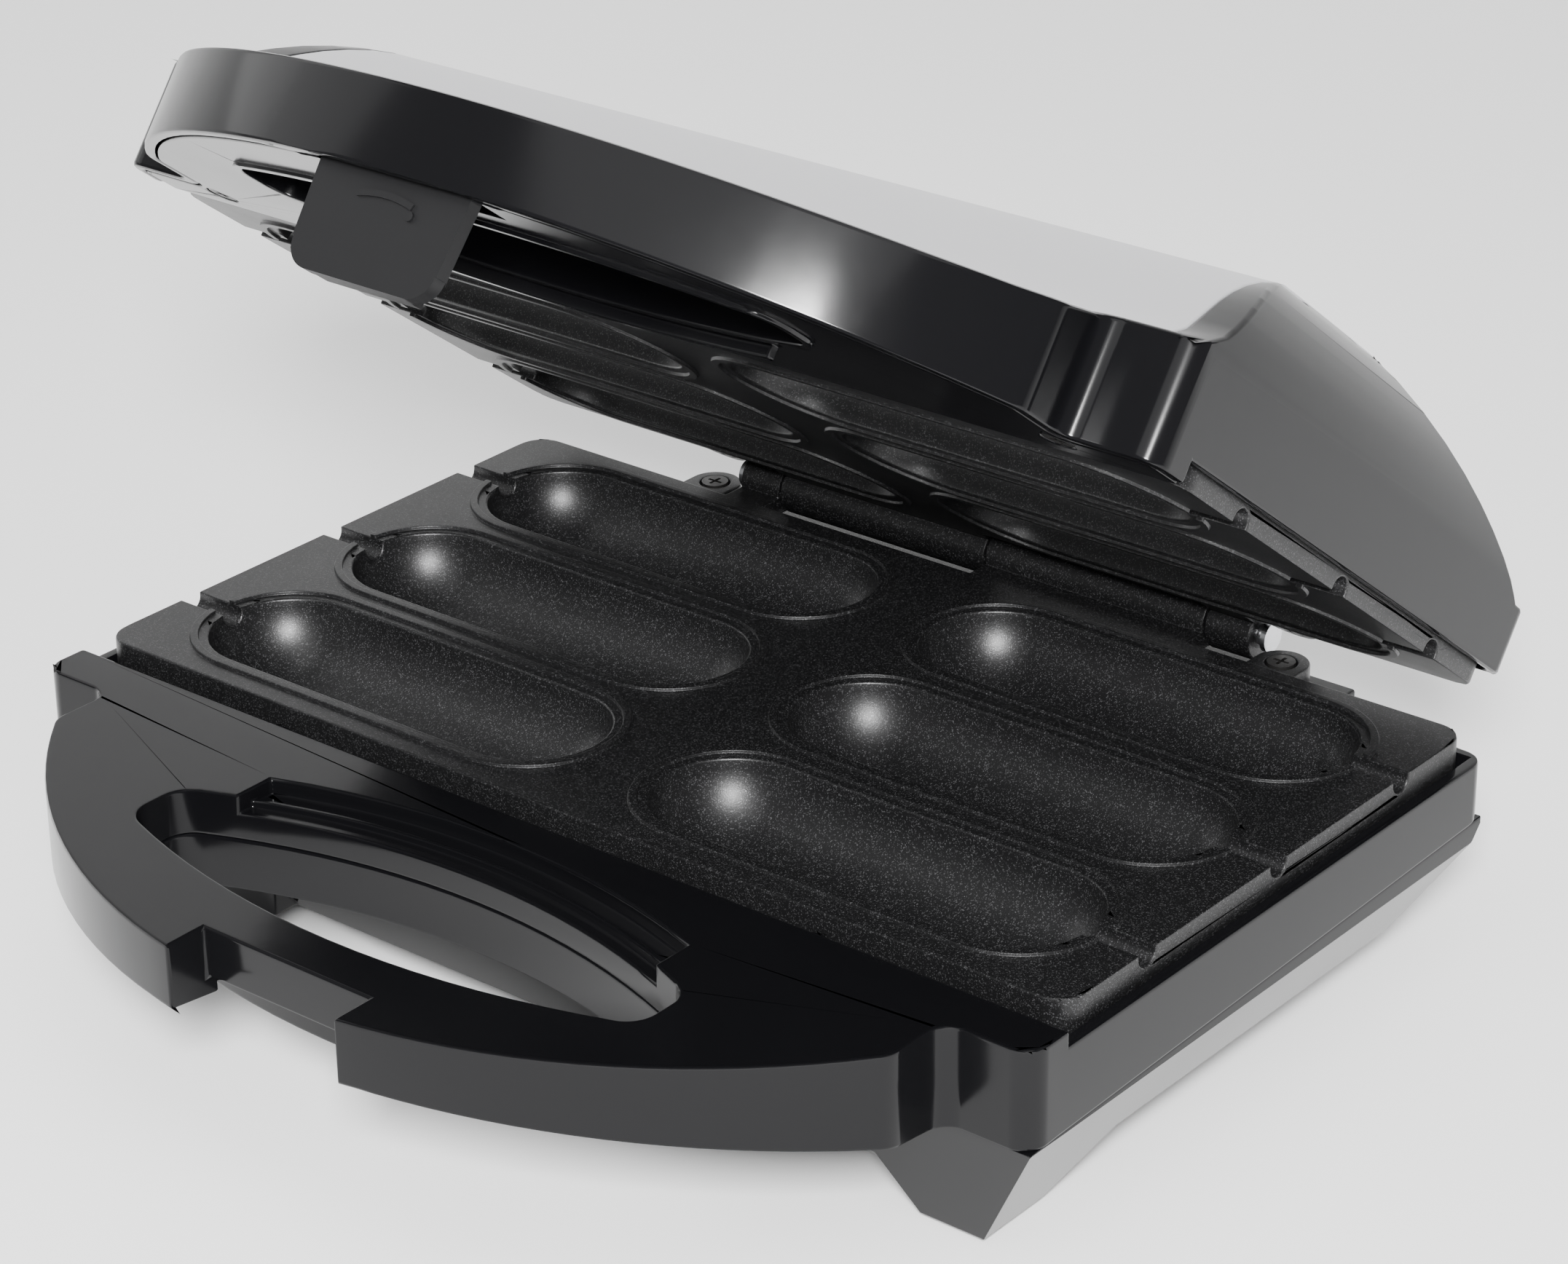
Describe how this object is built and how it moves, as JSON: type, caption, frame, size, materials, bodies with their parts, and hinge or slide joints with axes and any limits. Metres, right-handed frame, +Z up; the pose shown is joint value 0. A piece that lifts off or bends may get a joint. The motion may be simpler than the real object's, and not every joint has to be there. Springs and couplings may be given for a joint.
{
  "type": "electric stick-cake maker",
  "caption": "Clamshell electric maker with two hinged non-stick plates whose long rounded cavities have stick grooves, a looped carrying handle and a front latch.",
  "frame": {"origin": "on the counter, under the middle of the whole maker as it rests, with its lid open 37 degrees", "axes": "+X to the right along the plate's width, +Y towards the rear hinge, +Z up"},
  "size_m": [0.246, 0.2308, 0.1986],
  "materials": {
    "gloss_black": "polished, moulded",
    "silver_panel": "silver metallic paint, satin",
    "latch_black": "satin, moulded",
    "coated_plate": "die-cast with a dark non-stick coating with fine sparkle",
    "steel_screw": "bright zinc",
    "dark_screw": "blackened",
    "pin_steel": "drawn and cut",
    "tube_sheath": "oxidised sheath",
    "zinc_strap": "zinc plated",
    "shield_sheet": "rolled sheet",
    "ceramic_cream": "fired, matt",
    "fuse_brass": "plain",
    "lead_red": "silicone sleeve",
    "foot_rubber": "matt",
    "bush_rubber": "matt"
  },
  "bodies": {
    "base": {"base_housing": "gloss_black", "base_bottom_shell": "gloss_black", "lower_plate": "coated_plate", "lower_plate_screws": "dark_screw", "lower_heating_element": "tube_sheath", "lower_element_clamps": "zinc_strap", "lower_heater_screws": "steel_screw", "lower_heat_shield": "shield_sheet", "thermostat": "ceramic_cream", "base_terminal_block": "ceramic_cream", "base_leads": "lead_red", "base_shell_screws": "steel_screw", "rubber_feet": "foot_rubber", "cord_inlet_bush": "bush_rubber", "hinge_pin": "pin_steel"},
    "lid": {"lid_housing": "gloss_black", "lid_top_panel": "silver_panel", "lid_inner_panel": "gloss_black", "lid_panel_screws": "dark_screw", "upper_plate": "coated_plate", "upper_plate_screws": "dark_screw", "upper_heating_element": "tube_sheath", "upper_element_clamps": "zinc_strap", "upper_heater_screws": "steel_screw", "upper_heat_shield": "shield_sheet", "thermal_fuse": "fuse_brass", "lid_terminal_block": "ceramic_cream", "lid_leads": "lead_red", "latch_pin": "pin_steel"},
    "latch": {"latch": "latch_black"}
  },
  "joints": [
    {"name": "lid_hinge", "type": "hinge", "parent": "base", "child": "lid", "pos_m": [0, 0.105, 0.0519], "axis": [-1, 0, 0], "range_deg": [-37, 63]},
    {"name": "latch_hinge", "type": "hinge", "parent": "lid", "child": "latch", "pos_m": [0, -0.06526, 0.18471], "axis": [-1, 0, 0], "range_deg": [-6, 20]}
  ]
}
